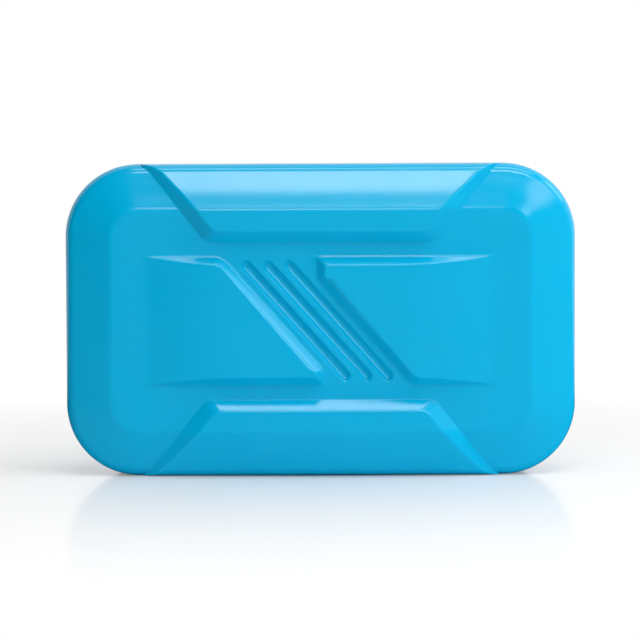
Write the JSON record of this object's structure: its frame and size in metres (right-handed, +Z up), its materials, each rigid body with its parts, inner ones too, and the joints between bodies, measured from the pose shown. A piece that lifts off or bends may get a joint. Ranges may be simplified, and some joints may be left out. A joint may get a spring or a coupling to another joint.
{
  "type": "reusable ice pack",
  "caption": "Hard-shell ice pack, a rounded oblong plastic block with raised trapezoid pads, two wings and a grooved diagonal channel on its front.",
  "frame": {"origin": "middle of the bottom of the pack's box, on the surface that it stands on", "axes": "+X along the long side, to the right as seen from the front; the patterned front faces -Y; +Z up"},
  "size_m": [0.165, 0.036, 0.101],
  "materials": {
    "shell": "satin blow-moulded polyethylene, water blue"
  },
  "bodies": {
    "root": {"shell": "shell"}
  },
  "joints": []
}
